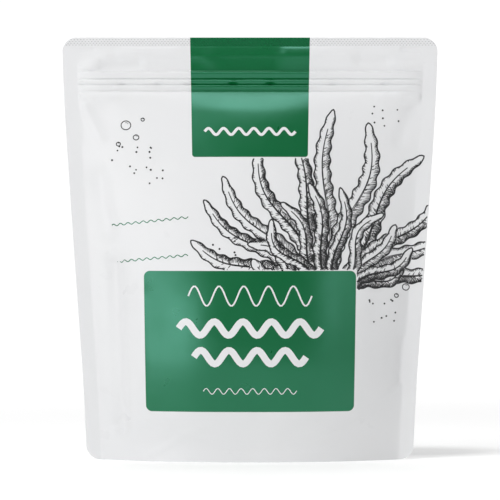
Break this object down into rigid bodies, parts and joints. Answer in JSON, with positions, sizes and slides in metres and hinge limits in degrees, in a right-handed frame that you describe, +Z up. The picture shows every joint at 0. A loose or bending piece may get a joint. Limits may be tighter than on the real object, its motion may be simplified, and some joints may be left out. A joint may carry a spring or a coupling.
{
  "type": "stand-up pouch",
  "caption": "White stand-up pouch with a zip, heat-sealed edges and a bottom gusset, filled with dried wakame.",
  "frame": {"origin": "on the floor, under the middle of the pouch", "axes": "+Z up, the printed front panel faces -Y, +X to the right seen from the front"},
  "size_m": [0.2, 0.0678, 0.225],
  "materials": {
    "film": "matt white laminated film with printed green fields and black line art",
    "zip": "clear milky extruded polyethylene",
    "wakame": "dull dark green dried leaf, crinkled"
  },
  "bodies": {
    "root": {"front_panel": "film", "back_panel": "film", "bottom_gusset": "film", "zip_rib_strip": "zip", "zip_jaw_strip": "zip", "wakame_filling": "wakame"}
  },
  "joints": []
}
